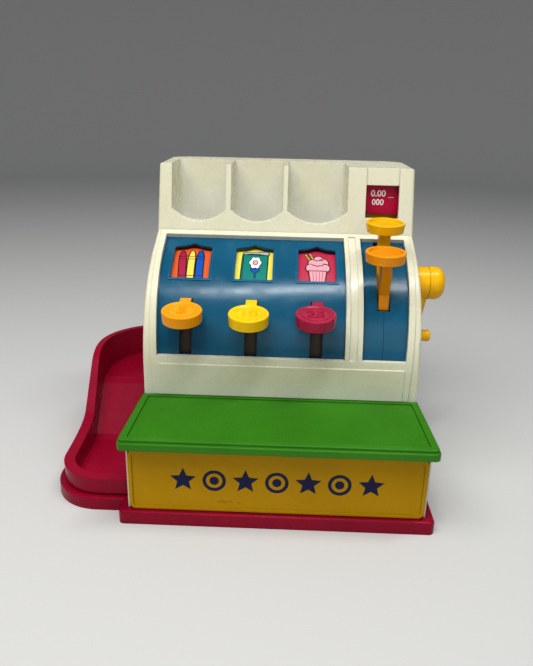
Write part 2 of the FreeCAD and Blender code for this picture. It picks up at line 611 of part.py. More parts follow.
# ---- push levers and signs ---------------------------------------------
def lever_orange():
    """Front lever: dished cap, leaning blade, foot in its socket and riser for the sign card."""
    top = 187.6
    blade = prism_x([(-33.6, LEVER_FOOT), (-33.6, 140.5), (-34.2, 141.5), (-34.2, 153.5), (-44.5, 173),
                     (-44.5, top), (-34, top), (-26, 156), (-24.4, 153), (-24.4, LEVER_FOOT)],
                    LEVER_X - 7.0, LEVER_X + 4.0)
    waist = prism_y([(LEVER_X - 4, LEVER_FOOT), (LEVER_X + 4, LEVER_FOOT), (LEVER_X + 4, 150),
                     (LEVER_X + 2.2, top), (LEVER_X - 6.2, top), (LEVER_X - 4.4, 168),
                     (LEVER_X - 4, 150)], -60, 0)
    shape = disc_cap((LEVER_X - 3.2, -45, 190.5), 4.0, 7.8, 2.2, 0.9).fuse(blade.common(waist))
    cross = box(LEVER_X, LEVER_X + 13, -25, -17, 142, 150)
    arm = box(LEVER_X + 6, LEVER_X + 13, -25, 43.6, 142, 150)
    foot = box(LEVER_X + 6, LEVER_X + 20, 39.6, 43.6, 142, 150)
    riser = box(LEVER_X + 16.8, LEVER_X + 20, 41.6, 43.6, 142, 236)
    plate = box(LEVER_X - 15.5, LEVER_X + 20, 41.6, 43.6, SIGN_LOW, 236)
    return shape.fuse(cross).fuse(arm).fuse(foot).fuse(riser).fuse(plate)


def sign_card():
    return box(LEVER_X - 15.5, LEVER_X + 20, 41.2, 41.6, SIGN_LOW, 236)


def lever_yellow():
    """Rear lever: dished cap, straight stem, foot in its socket and riser for the backing flag."""
    stem = box(LEVER_X - 4.5, LEVER_X + 4.5, -12.5, -3.5, LEVER_FOOT, 203.6)
    shape = disc_cap((LEVER_X, -10, 206.4), 4.0, 7.6, 2.2, 0.9).fuse(stem)
    arm = box(LEVER_X - 13, LEVER_X, -12, 49, 130, 138)
    riser = box(LEVER_X - 13, LEVER_X - 9, 47, 49, 130, 236)
    return shape.fuse(arm).fuse(riser)


def sign_backing():
    """The yellow flag, whose lower edge shows below the card."""
    return box(LEVER_X - 15.5, LEVER_X + 17.5, 46.2, 47.0, 194, 236)


def lever_spring(y):
    return spring(3.4, 0.45, (LEVER_X, y, LEVER_SEAT), LEVER_FOOT - LEVER_SEAT, 7)


# ---- crank --------------------------------------------------------------
def crank_shaft():
    """The shaft with its flat drive end, through the housing's right wall."""
    end = rod(4.8, (BODY_HALF + 7.2, CRANK_Y, CRANK_Z), (BODY_HALF + 17.2, CRANK_Y, CRANK_Z))
    end = end.makeFillet(1.6, [e for e in end.Edges if e.BoundBox.XMin > BODY_HALF + 17])
    return rod(4.0, (96.5, CRANK_Y, CRANK_Z), (BODY_HALF + 12, CRANK_Y, CRANK_Z)).fuse(end)


def strike_cam():
    """A wheel with two lobes that trips the bell's hammer."""
    wheel = rod(9.0, (97.5, CRANK_Y, CRANK_Z), (103.5, CRANK_Y, CRANK_Z))
    for s in (-1, 1):
        wheel = wheel.fuse(box(97.5, 103.5, *sorted((CRANK_Y, CRANK_Y + s * 13)), CRANK_Z - 2, CRANK_Z + 2))
    return wheel.cut(rod(4.0, (97, CRANK_Y, CRANK_Z), (104, CRANK_Y, CRANK_Z)))


def crank_arm():
    x0, x1 = BODY_HALF + 1.0, BODY_HALF + 7.0
    top = CRANK_Z + CRANK_R
    arm = rod(8.5, (x0, CRANK_Y, CRANK_Z), (x1, CRANK_Y, CRANK_Z))
    arm = arm.fuse(prism_x([(-8, CRANK_Z), (8, CRANK_Z), (9.5, top), (-9.5, top)], x0, x1))
    arm = arm.fuse(rod(KNOB_R - 0.3, (x0, CRANK_Y, top), (x1 + 3.4, CRANK_Y, top)))
    wedge = prism_x([(-5.5, CRANK_Z + 16), (5.5, CRANK_Z + 16), (8, top), (-8, top)], x1 - 1, x1 + 3.4)
    ramp = prism_y([(x1 - 1, CRANK_Z + 15), (x1 + 0.2, CRANK_Z + 17), (x1 + 3.4, top - 8),
                    (x1 + 3.4, top + 2), (x1 - 1, top + 2)], -20, 20)
    arm = arm.fuse(wedge.common(ramp))
    arm = arm.cut(rod(4.0, (x0 - 1, CRANK_Y, CRANK_Z), (x1 + 1, CRANK_Y, CRANK_Z)))
    return arm.cut(rod(2.5, (x0 - 1, CRANK_Y, top), (x1 + 6, CRANK_Y, top)))


def crank_knob():
    """A domed knob that spins on its pin."""
    x0, x1 = BODY_HALF + 10.6, BODY_HALF + 23.5
    top = CRANK_Z + CRANK_R
    knob = rod(KNOB_R, (x0, CRANK_Y, top), (x1, CRANK_Y, top))
    knob = knob.makeFillet(7.5, [e for e in knob.Edges if e.BoundBox.XMin > x1 - 0.1])
    return knob.cut(rod(2.5 + RUN_GAP, (x0 - 1, CRANK_Y, top), (x1 - 4, CRANK_Y, top)))


def knob_pin():
    top = CRANK_Z + CRANK_R
    return rod(2.5, (BODY_HALF + 1.0, CRANK_Y, top), (BODY_HALF + 19.0, CRANK_Y, top))


# ---- bell ---------------------------------------------------------------
def bell():
    """A pressed steel dome on its post."""
    x, y = BELL_XY
    rim, top, sphere_z = 80.0, 110.0, 70.0
    outer = Part.makeSphere(24, V(x, y, sphere_z)).common(box(x - 40, x + 40, y - 40, y + 40, rim, top))
    inner = Part.makeSphere(23, V(x, y, sphere_z)).common(box(x - 40, x + 40, y - 40, y + 40, rim - 1, top))
    return outer.cut(inner).cut(rod(2.0, (x, y, sphere_z), (x, y, top)))


def bell_post():
    """A shouldered post with a riveted washer over the dome."""
    x, y = BELL_XY
    post = rod(4.0, (x, y, DECK_Z[1]), (x, y, 90.0)).fuse(rod(2.0, (x, y, 90), (x, y, 97)))
    return post.fuse(rod(4.0, (x, y, 94.2), (x, y, 96.4)))


def bell_hammer():
    """A rocker: tail under the cam, ball beside the bell's rim."""
    y, z = HAMMER_Y, HAMMER_Z
    hub = rod(4.0, (91.0, y, z), (98.9, y, z))
    tail = prism_x([(y, z - 3), (y, z + 3.5), (8, 93.5), (4, 93.5), (4, 91)], 97.0, 98.9)
    head = prism_x([(y - 3, z), (y + 3, z), (y + 4.6, 84), (y + 1.6, 84)], 91.0, 93.0)
    ball = Part.makeSphere(2.6, V(92, y + 3.2, 83.4))
    bore = rod(1.2 + RUN_GAP, (90, y, z), (100, y, z))
    return hub.fuse(tail).fuse(head).fuse(ball).cut(bore)


def hammer_pin():
    return rod(1.2, (86.0, HAMMER_Y, HAMMER_Z), (103.0, HAMMER_Y, HAMMER_Z))


def hammer_spring():
    """A short coil round the pin, beside the hammer's hub."""
    coil = spring(2.2, 0.3, (0, 0, 0), 1.8, 2)
    coil.rotate(V(0, 0, 0), V(0, 1, 0), 90)
    coil.translate(V(89.1, HAMMER_Y, HAMMER_Z))
    return coil


# ---- coin ramp ----------------------------------------------------------
def coin_ramp():
    """A trough that falls from under the hoppers to the opening above the tray."""
    x_low, z_low, x_high, z_high, t = -104.6, DECK_Z[1] + 0.1, 53.0, 152.0, 2.0
    y0, y1 = RAMP_Y
    slope = (z_high - z_low) / (x_high - x_low)
    shape = prism_y([(x_low, z_low), (x_high, z_high), (x_high, z_high + t), (x_low, z_low + t)], y0, y1)
    for y in (y0, y1 - t):
        side = [(x_low, z_low), (x_high, z_high), (x_high, z_high + 14), (x_low, z_low + 14)]
        shape = shape.fuse(prism_y(side, y, y + t))
    for x in (-60, 40):
        shape = shape.fuse(box(x, x + 3, y0, y0 + 4, DECK_Z[1], z_low + (x - x_low) * slope + 1))
    return shape.removeSplitter()


# ---- build --------------------------------------------------------------
def build():
    os.makedirs("parts", exist_ok=True)
    save("base_plate", base_plate())
    save("base_screws", *base_screws())
    save("coin_tray", coin_tray())
    save("housing", housing())
    save("hopper_floor", hopper_floor())
    save("rear_cover", rear_cover())
    save("rear_cover_screws", *rear_cover_screws())
    save("key_panel", key_panel())
    save("lever_panel", lever_panel())
    save("counter_lid", counter_lid())
    save("drawer", drawer())
    save("drawer_spring", drawer_spring())
    save("drawer_latch", drawer_latch())
    save("latch_pin", latch_pin())
    save("chassis", chassis())
    save("key_axle", key_axle())
    for color, x in COLUMNS.items():
        save("key_" + color, key(color))
        save("blind_" + color, blind(x))
        save(CARDS[color], card(x))
        save("key_spring_" + color, key_spring(x))
    save("lever_orange", lever_orange())
    save("lever_yellow", lever_yellow())
    save("lever_spring_orange", lever_spring(LEVER_ROWS[0]))
    save("lever_spring_yellow", lever_spring(LEVER_ROWS[1]))
    save("sign_card", sign_card())
    save("sign_backing", sign_backing())
    save("crank_shaft", crank_shaft())
    save("strike_cam", strike_cam())
    save("crank_arm", crank_arm())
    save("crank_knob", crank_knob())
    save("knob_pin", knob_pin())
    save("bell", bell())
    save("bell_post", bell_post())
    save("bell_hammer", bell_hammer())
    save("hammer_pin", hammer_pin())
    save("hammer_spring", hammer_spring())
    save("coin_ramp", coin_ramp())


build()
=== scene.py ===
import json
import math
import random

import bmesh
import bpy
from mathutils import Matrix, Vector


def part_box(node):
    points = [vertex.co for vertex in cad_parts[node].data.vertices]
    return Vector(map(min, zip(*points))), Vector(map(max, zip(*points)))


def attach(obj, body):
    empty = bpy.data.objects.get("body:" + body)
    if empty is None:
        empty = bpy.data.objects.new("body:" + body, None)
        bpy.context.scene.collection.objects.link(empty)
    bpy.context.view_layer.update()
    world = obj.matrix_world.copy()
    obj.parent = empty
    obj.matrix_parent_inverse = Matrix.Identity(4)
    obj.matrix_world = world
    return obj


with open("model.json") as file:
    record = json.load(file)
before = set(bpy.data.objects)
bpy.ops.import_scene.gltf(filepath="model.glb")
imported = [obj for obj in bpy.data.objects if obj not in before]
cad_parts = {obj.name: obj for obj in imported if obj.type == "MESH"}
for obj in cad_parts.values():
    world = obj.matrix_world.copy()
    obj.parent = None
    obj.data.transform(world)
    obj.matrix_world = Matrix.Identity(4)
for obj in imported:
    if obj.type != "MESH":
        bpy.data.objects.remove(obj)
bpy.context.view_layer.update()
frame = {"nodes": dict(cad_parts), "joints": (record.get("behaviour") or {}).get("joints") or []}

# The CAD's nodes get their materials, and printed or raised details are laid on them as pieces of their own.
# Their sizes are in mm, times MM in metres, and the studio's are in metres. X runs to the right, Y away
# from the child and Z up. On a surface, u runs to the right, v up and w out of it.
MM = 0.001
JOINTS = {j["name"]: j for j in frame["joints"]}
NODES = frame["nodes"]
AXLE = Vector(JOINTS["orange_key_press"]["pos_m"])      # key axle, centre of the curved front
CARDS = {"orange": "card_left", "yellow": "card_middle", "red": "card_right"}   # the card on each key
PANEL_R = 85.8 * MM         # outer face of the teal panels
SLOPE_START = 114.7         # degrees round the axle where the curve becomes a straight slope
WINDOW_LOW = 131.6          # degrees round the axle at the windows' lower edge
WINDOW_HALF = 15.2          # half the picture windows' width
PICTURE_LIFT = 2.0          # from the window's lower edge up to a picture's zero line
PICTURE_STRETCH = 0.0031    # a picture is drawn longer towards its top, where the card leans away
PICTURE_FOOT = -4           # pictures run on below the window's edge
INK = 0.05                  # thickness of one printed layer on a card
FLAT = 30                   # longest edge of a plate that lies on a flat face
DRAWER_FIELD = 0.8          # depth of the sunken field on the drawer's front
CAPS = {                    # centre of each disc's top, its lean in degrees and the depth of its dish
    "orange_key": ((-75.1, -62.0, 145.6), 8.0, 0.7),
    "yellow_key": ((-25.1, -62.0, 144.6), 8.0, 0.7),
    "red_key": ((25.2, -62.0, 145.6), 8.0, 0.7),
    "orange_lever": ((75.8, -45.0, 190.5), 4.0, 2.2),
    "yellow_lever": ((79.0, -10.0, 206.4), 4.0, 2.2),
}


# ---- materials ----------------------------------------------------------
MIX_A, MIX_B, MIX_OUT = 6, 7, 2     # the mix node's sockets for colours


def shade(color, factor):
    return tuple(c * factor for c in color)


class Graph:
    """A material and its principled shader, with helpers that add and link nodes."""

    def __init__(self, name):
        self.material = bpy.data.materials.new(name)
        self.material.use_nodes = True
        self.tree = self.material.node_tree
        self.tree.nodes.clear()
        self.out = self.add("ShaderNodeOutputMaterial")
        self.shader = self.add("ShaderNodeBsdfPrincipled")
        self.link(self.shader, "BSDF", self.out, "Surface")
        self.coords = self.add("ShaderNodeTexCoord")

    def add(self, kind, **values):
        """Adds a node; each value is one of its settings or, by name, one of its inputs."""
        node = self.tree.nodes.new(kind)
        for key, value in values.items():
            if hasattr(node, key):
                setattr(node, key, value)
            else:
                node.inputs[key.replace("_", " ")].default_value = value
        return node

    def link(self, a, a_out, b, b_in):
        self.tree.links.new(a.outputs[a_out], b.inputs[b_in])

    def noise(self, scale, detail=3.0, rough=0.55, stretch=None):
        """Noise fixed to the piece, with scale in cells per metre."""
        node = self.add("ShaderNodeTexNoise", Scale=scale, Detail=detail, Roughness=rough)
        if stretch:
            mapping = self.add("ShaderNodeMapping", Scale=stretch)
            self.link(self.coords, "Object", mapping, "Vector")
            self.link(mapping, "Vector", node, "Vector")
        else:
            self.link(self.coords, "Object", node, "Vector")
        return node

    def remap(self, node, socket, low, high, to_low, to_high):
        out = self.add("ShaderNodeMapRange", From_Min=low, From_Max=high, To_Min=to_low, To_Max=to_high)
        self.link(node, socket, out, "Value")
        return out

    def mix(self, factor, a, b):
        """Mixes from a to b by a remapped factor; a is a colour or another mix, and b is a colour."""
        out = self.add("ShaderNodeMix", data_type="RGBA")
        self.link(factor, "Result", out, 0)
        if isinstance(a, tuple):
            out.inputs[MIX_A].default_value = (*a, 1.0)
        else:
            self.link(a, MIX_OUT, out, MIX_A)
        out.inputs[MIX_B].default_value = (*b, 1.0)
        return out

    def bump(self, height, socket, normal, strength, depth):
        out = self.add("ShaderNodeBump", Strength=strength, Distance=depth * MM)
        self.link(height, socket, out, "Height")
        self.link(normal, "Normal", out, "Normal")
        return out

    def pocket(self, samples, distance, open_from, open_to, most):
        """How deep in a corner or pocket a spot lies: most in the depth and 0 in the open."""
        shut = self.add("ShaderNodeAmbientOcclusion", samples=samples, Distance=distance * MM)
        return self.remap(shut, "AO", open_from, open_to, most, 0.0)


def plastic(name, color, rough=0.3, mottle=0.08, corner_shade_and_dirt=0.35, peel=0.05, edge=0.5, scratch=0.0,
            tint=None, hollow_shade_colour=None, gloss=0.32):
    """Moulded plastic: soft edges, faint mould texture, colour drift, painted shade and dirt in corners,
    fine scratches.

    The colour drifts towards tint, or a darker shade of itself, and in deep pockets towards
    hollow_shade_colour, a painted cool shade.
    edge is the radius that sharp edges are shaded with, and gloss is the shine's strength.
    """
    g = Graph(name)
    drift = g.remap(g.noise(22.0, 4.0), "Fac", 0.35, 0.68, 0.0, 1.0)
    tone = g.mix(drift, shade(color, 1.0 + mottle * 0.4), tint or shade(color, 1.0 - mottle))
    # painted shade and dirt: in corners and pockets the colour goes towards a darker copy of itself
    tone = g.mix(g.pocket(6, 5, 0.25, 0.85, corner_shade_and_dirt), tone, shade(color, 0.30))
    # painted shade: in deep pockets the colour goes towards a cool grey, the look of a pale plastic in deep
    # shade
    if hollow_shade_colour:
        tone = g.mix(g.pocket(12, 40, 0.30, 0.80, 0.85), tone, hollow_shade_colour)
    g.link(tone, MIX_OUT, g.shader, "Base Color")
    worn = g.remap(g.noise(70.0, 5.0, 0.65), "Fac", 0.3, 0.7, rough - 0.05, rough + 0.09)
    g.link(worn, "Result", g.shader, "Roughness")
    soft = g.add("ShaderNodeBevel", samples=4, Radius=edge * MM)
    surface = g.bump(g.noise(1400.0, 2.0), "Fac", soft, peel, 0.2)
    if scratch:
        marks = g.noise(900.0, 2.0, 0.5, stretch=(0.06, 1.0, 1.0))
        lines = g.remap(marks, "Fac", 0.66, 0.74, 0.0, 1.0)
        surface = g.bump(lines, "Result", surface, scratch, 0.15)
    g.link(surface, "Normal", g.shader, "Normal")
    g.shader.inputs["IOR"].default_value = 1.49
    g.shader.inputs["Specular IOR Level"].default_value = gloss
    return g.material


def print_ink(name, color, rough=0.42):
    """Printed card or paint: flat colour with a little paper grain and dot variation."""
    g = Graph(name)
    grain = g.noise(600.0, 3.0)
    spread = g.remap(grain, "Fac", 0.35, 0.65, 0.0, 1.0)
    tone = g.mix(spread, shade(color, 1.04), shade(color, 0.93))
    g.link(tone, MIX_OUT, g.shader, "Base Color")
    worn = g.remap(grain, "Fac", 0.3, 0.7, rough - 0.04, rough + 0.08)
    g.link(worn, "Result", g.shader, "Roughness")
    g.shader.inputs["Specular IOR Level"].default_value = 0.3
    return g.material


def steel(name, color=(0.62, 0.61, 0.59), rough=0.28):
    """Bright zinc-plated steel with drawn streaks."""
    g = Graph(name)
    streak = g.noise(260.0, 4.0, 0.6, stretch=(1.0, 1.0, 0.12))
    spread = g.remap(streak, "Fac", 0.3, 0.7, 0.0, 1.0)
    tone = g.mix(spread, color, shade(color, 0.78))
    g.link(tone, MIX_OUT, g.shader, "Base Color")
    worn = g.remap(streak, "Fac", 0.3, 0.7, rough - 0.06, rough + 0.12)
    g.link(worn, "Result", g.shader, "Roughness")
    g.shader.inputs["Metallic"].default_value = 1.0
    return g.material


IVORY = (0.63, 0.615, 0.475)
CRIMSON = (0.262, 0.0022, 0.026)
TEAL = (0.0045, 0.090, 0.165)
GREEN = (0.036, 0.185, 0.006)
DRAWER_YELLOW = (0.47, 0.265, 0.0005)
ORANGE = (0.82, 0.325, 0.0005)
DEEP_ORANGE = (0.76, 0.285, 0.0008)
YELLOW = (0.84, 0.52, 0.0003)
AMBER = (0.78, 0.43, 0.0003)
RASPBERRY = (0.36, 0.014, 0.058)
NATURAL = (0.60, 0.58, 0.50)
NAVY = (0.006, 0.008, 0.060)

# In each plastic the numbers after the colour are roughness, colour drift and the strength of the painted
# shade and dirt in corners.
MAT = {
    # the ivory's deep hollows get a painted cool grey shade
    "ivory": plastic("ivory_plastic", IVORY, 0.26, 0.06, 0.45, edge=0.8, tint=(0.61, 0.59, 0.435),
                     hollow_shade_colour=(0.68, 0.69, 0.67), gloss=0.5),
    "crimson": plastic("crimson_plastic", CRIMSON, 0.27, 0.12, 0.30, edge=0.9, scratch=0.06, gloss=0.22),
    "teal": plastic("teal_plastic", TEAL, 0.21, 0.16, 0.35, scratch=0.05, gloss=0.42),
    # painted highlight: the window trim is the panel's own teal, made paler as if lit more
    "teal_painted_highlight": plastic("teal_highlight_plastic", shade(TEAL, 1.7), 0.3, 0.1, 0.1),
    "teal_dark": plastic("teal_seam_plastic", shade(TEAL, 0.35), 0.4, 0.1, 0.1),
    "scuff": print_ink("scuff_brown", (0.20, 0.085, 0.012), 0.6),
    "green": plastic("green_plastic", GREEN, 0.33, 0.10, 0.35),
    "drawer": plastic("drawer_plastic", DRAWER_YELLOW, 0.28, 0.06, 0.20, edge=0.9, scratch=0.10, gloss=0.16),
    "orange": plastic("orange_plastic", ORANGE, 0.26, 0.07, 0.30),
    "deep_orange": plastic("deep_orange_plastic", DEEP_ORANGE, 0.26, 0.07, 0.30),
    "yellow": plastic("bright_yellow_plastic", YELLOW, 0.26, 0.06, 0.30),
    "amber": plastic("amber_plastic", AMBER, 0.26, 0.06, 0.30),
    "red": plastic("raspberry_plastic", RASPBERRY, 0.28, 0.10, 0.30),
    # the smoke plastic gets strong painted shade and dirt in its pockets
    "smoke": plastic("smoke_plastic", (0.072, 0.050, 0.034), 0.40, 0.15, 0.75),
    "natural": plastic("natural_plastic", NATURAL, 0.42, 0.05, 0.40),
    "steel": steel("bright_steel"),
    "card_orange": print_ink("orange_card", (0.60, 0.105, 0.028)),
    "card_yellow": print_ink("yellow_card", (0.70, 0.61, 0.105)),
    "card_red": print_ink("raspberry_card", (0.44, 0.032, 0.075)),
    "card_crimson": print_ink("crimson_card", (0.50, 0.005, 0.055)),
    "flag": print_ink("yellow_flag", (0.95, 0.74, 0.004)),
    "black": print_ink("black_ink", (0.010, 0.010, 0.012)),
    "white": print_ink("white_ink", (0.86, 0.86, 0.84)),
    "navy": print_ink("navy_ink", NAVY, 0.36),
    "ink_red": print_ink("red_ink", (0.36, 0.014, 0.062)),
    "ink_yellow": print_ink("yellow_ink", (0.72, 0.58, 0.10)),
    "ink_blue": print_ink("blue_ink", (0.004, 0.085, 0.40)),
    "ink_teal": print_ink("teal_ink", (0.003, 0.20, 0.165)),
    "ink_grey": print_ink("grey_ink", (0.42, 0.41, 0.42)),
    "ink_pink": print_ink("pink_ink", (0.68, 0.33, 0.38)),
}

NODE_MATERIALS = {          # what isn't named here is steel
    "ivory": ("housing", "hopper_floor", "rear_cover"),
    "crimson": ("base_plate", "coin_tray"),
    "teal": ("key_panel", "lever_panel"),
    "green": ("counter_lid",),
    "drawer": ("drawer",),
    "orange": ("key_orange",),
    "deep_orange": ("lever_orange",),
    "yellow": ("key_yellow",),
    "flag": ("sign_backing",),
    "amber": ("lever_yellow", "crank_arm", "crank_knob", "crank_shaft"),
    "red": ("key_red",),
    "smoke": ("blind_orange", "blind_yellow", "blind_red"),
    "natural": ("chassis", "coin_ramp", "strike_cam", "bell_hammer", "drawer_latch"),
    "card_orange": ("card_left",),
    "card_yellow": ("card_middle",),
    "card_red": ("card_right",),
    "card_crimson": ("sign_card",),
}


def paint_nodes():
    """Gives every CAD node its material."""
    chosen = {node: key for key, nodes in NODE_MATERIALS.items() for node in nodes}
    for name, obj in NODES.items():
        material = MAT[chosen.get(name, "steel")]
        for slot in obj.material_slots:
            slot.material = material
        if not obj.material_slots:
            obj.data.materials.append(material)


# ---- mesh helpers -------------------------------------------------------
def add_object(name, data):
    obj = bpy.data.objects.new(name, data)
    bpy.context.scene.collection.objects.link(obj)
    return obj


def mesh_piece(name, bm, material, body):
    """Turns a bmesh into a piece that rides on a body."""
    bmesh.ops.recalc_face_normals(bm, faces=bm.faces)
    mesh = bpy.data.meshes.new(name)
    bm.to_mesh(mesh)
    bm.free()
    obj = add_object(name, mesh)
    mesh.materials.append(MAT[material])
    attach(obj, body)
    return obj


def join_mesh(target, source):
    """Copies a bmesh into another and frees it."""
    temp = bpy.data.meshes.new("temp")
    source.to_mesh(temp)
    source.free()
    target.from_mesh(temp)
    bpy.data.meshes.remove(temp)


def slab(outline, place, low, high, longest=2.5):
    """A thin closed plate with a flat (u, v) outline, bent onto a surface by place(u, v, w).

    Edges over the longest length are halved, at most six times, so that the plate follows the surface.
    """
    bm = bmesh.new()
    verts = [bm.verts.new((u, v, low)) for u, v in outline]
    face = bm.faces.new(verts)
    bmesh.ops.triangulate(bm, faces=[face])
    for _ in range(6):
        long_edges = [e for e in bm.edges if e.calc_length() > longest]
        if not long_edges:
            break
        bmesh.ops.subdivide_edges(bm, edges=long_edges, cuts=1)
        bmesh.ops.triangulate(bm, faces=[f for f in bm.faces if len(f.verts) > 3])
    top = bmesh.ops.extrude_face_region(bm, geom=list(bm.faces))
    for v in top["geom"]:
        if isinstance(v, bmesh.types.BMVert):
            v.co.z = high
    for v in bm.verts:
        v.co = place(*v.co)
    return bm


def slabs(name, outlines, place, low, high, material, body, longest=2.5):
    """Several plates as one piece."""
    bm = bmesh.new()
    for outline in outlines:
        join_mesh(bm, slab(outline, place, low, high, longest))
    mesh_piece(name, bm, material, body)


def circle(u, v, r, count=28, squash=1.0):
    turn = 2 * math.pi / count
    return [(u + r * math.cos(turn * i), v + r * squash * math.sin(turn * i)) for i in range(count)]


def rect(u0, u1, v0, v1):
    return [(u0, v0), (u1, v0), (u1, v1), (u0, v1)]


def bar(a, b, half):
    """A straight bar from a to b."""
    a, b = Vector(a), Vector(b)
    direction = (b - a).normalized()
    side = Vector((-direction.y, direction.x)) * half
    return [tuple(p) for p in (a - side, b - side, b + side, a + side)]


def turned(outline, degrees, pivot):
    """The outline turned anticlockwise about a pivot."""
    a = math.radians(degrees)
    c, s = math.cos(a), math.sin(a)
    out = []
    for u, v in outline:
        du, dv = u - pivot[0], v - pivot[1]
        out.append((pivot[0] + du * c - dv * s, pivot[1] + du * s + dv * c))
    return out


def grown(outline, by):
    """The outline moved outwards by a distance, for a printed border; sharp corners are held back."""
    area = sum(a[0] * b[1] - b[0] * a[1] for a, b in zip(outline, outline[1:] + outline[:1]))
    sign = 1 if area > 0 else -1
    bluntest = 0.45
    out = []
    for i, point in enumerate(outline):
        before, after = Vector(outline[i - 1]), Vector(outline[(i + 1) % len(outline)])
        p = Vector(point)
        d0, d1 = (p - before).normalized(), (after - p).normalized()
        n0, n1 = Vector((d0.y, -d0.x)) * sign, Vector((d1.y, -d1.x)) * sign
        mid = n0 + n1
        if mid.length < 1e-6:
            out.append(point)
            continue
        mid.normalize()
        reach = min(by / max(mid.dot(n0), bluntest), by * 2)
        out.append(tuple(p + mid * reach))
    return out


def skin_ring(bm, rows):
    """Joins rows of vertices, each a section across a closed ring, into its skin."""
    for i, row in enumerate(rows):
        after = rows[(i + 1) % len(rows)]
        for k, vert in enumerate(row):
            m = (k + 1) % len(row)
            bm.faces.new((vert, after[k], after[m], row[m]))


# ---- surfaces that artwork is laid on ----------------------------------
def round_axle(x, r, angle):
    return Vector((x, AXLE.y + r * math.cos(angle), AXLE.z + r * math.sin(angle)))


def on_card(column_x, card_radius):
    """Maps (u, v, w) to the curved card; v is the height above the window's lower edge."""
    def place(u, v, w):
        angle = math.radians(WINDOW_LOW) - v * MM / card_radius
        return round_axle(column_x + u * MM, card_radius + w * MM, angle)
    return place


def on_panel(column_x):
    """Maps (u, v, w) to the teal panel: round at first, then straight up the slope."""
    round_length = math.radians(WINDOW_LOW - SLOPE_START) * PANEL_R

    def place(u, v, w):
        x, r, length = column_x + u * MM, PANEL_R + w * MM, v * MM
        if length <= round_length:
            return round_axle(x, r, math.radians(WINDOW_LOW) - length / PANEL_R)
        a = math.radians(SLOPE_START)
        uphill = Vector((0, math.sin(a), -math.cos(a)))
        return round_axle(x, r, a) + uphill * (length - round_length)
    return place


def on_front(origin):
    """Maps (u, v, w) to a vertical face that looks towards the child."""
    def place(u, v, w):
        return origin + Vector((u, -w, v)) * MM
    return place


def cap_matrix(body):
    """The frame of a disc cap's top: its centre and its lean towards the child."""
    centre, lean, _ = CAPS[body]
    return Matrix.Translation(Vector(centre) * MM) @ Matrix.Rotation(math.radians(lean), 4, "X")


# ---- picture cards ------------------------------------------------------
def picture(colour, parts):
    """Prints shapes on a card, layer on layer: each part is (name, outlines, material, border)."""
    node = CARDS[colour]
    low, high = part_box(node)
    lay = on_card((low.x + high.x) / 2, high.z - AXLE.z)

    def place(u, v, w):
        return lay(u, PICTURE_LIFT + v + PICTURE_STRETCH * v * v, w)

    layer = 0.02
    for name, outlines, material, border in parts:
        layers = [(name, outlines, material)]
        if border:
            layers.insert(0, (name + "_line", [grown(o, border) for o in outlines], "black"))
        for label, shapes, ink in layers:
            slabs(f"{node}_{label}", shapes, place, layer, layer + INK, ink, colour + "_key")
            layer += INK


def crayon(low_u, high_u):
    """The outlines and the bands of a wax crayon, which leans from low_u at its foot to high_u."""
    half, shoulder, neck, top = 2.65, 19.0, 23.6, 29.8
    collar_half = half - 0.1
    lean = (high_u - low_u) / 30.0

    def leaned(outline):
        return [(low_u + u + v * lean, v) for u, v in outline]

    body = leaned(rect(-half, half, PICTURE_FOOT, shoulder))
    collar = leaned(rect(-collar_half, collar_half, shoulder, neck))
    tip = leaned([(-2.2, neck), (2.2, neck), (1.9, 26.2), (1.2, 28.8), (0.5, top), (-0.5, top), (-1.2, 28.8),
                  (-1.9, 26.2)])
    bands = [leaned(rect(-collar_half, collar_half, v, v + 0.55)) for v in (2.2, 19.6, 22.4)]
    return [body, collar, tip], bands


def crayons_card():
    columns = ((-6.6, -9.0, "ink_red"), (-0.2, -1.0, "ink_yellow"), (6.9, 6.0, "ink_blue"))
    parts = []
    for i, (low_u, high_u, ink) in enumerate(columns):
        outlines, bands = crayon(low_u, high_u)
        parts.append((f"crayon{i}", outlines, ink, 0.84))
        parts.append((f"bands{i}", bands, "black", 0))
    picture("orange", parts)


def book_card():
    """A closed book, seen from its front, with a flower on its cover."""
    cover = [(-10.4, PICTURE_FOOT), (10.0, PICTURE_FOOT), (10.6, 26.4), (-9.6, 26.8)]
    pages = [(-9.4, 27.2), (-4.0, 28.6), (4.0, 28.4), (10.8, 26.8), (11.6, 28.6), (10.4, 31.4), (4.0, 30.6),
             (-3.0, 30.2), (-9.0, 29.6)]
    spine = rect(-9.5, -9.0, PICTURE_FOOT, 25.6)
    flower_u, flower_v, oval = 0.8, 17.6, 1.35
    petals = []
    for i in range(6):
        a = 2 * math.pi * i / 6
        petals.append(circle(flower_u + 3.0 * math.cos(a), flower_v + 4.0 * math.sin(a), 1.9, 18, oval))
    eye = circle(flower_u, flower_v, 1.7, 20, oval)
    stem = bar((flower_u, 2.0), (flower_u, 14.0), 0.35)
    leaves = []
    for u, lean in ((3.8, 40), (-2.2, -40)):
        leaves.append(turned(circle(u, 7.6, 2.8, 18, 0.45), lean, (flower_u, 6.0)))
    picture("yellow", [
        ("pages", [pages], "ink_grey", 0.8),
        ("cover", [cover], "ink_teal", 0.9),
        ("spine", [spine], "black", 0),
        ("stem", [stem] + leaves, "ink_blue", 0.5),
        ("petals", petals, "white", 0.6),
        ("eye", [eye], "ink_pink", 0.6)])


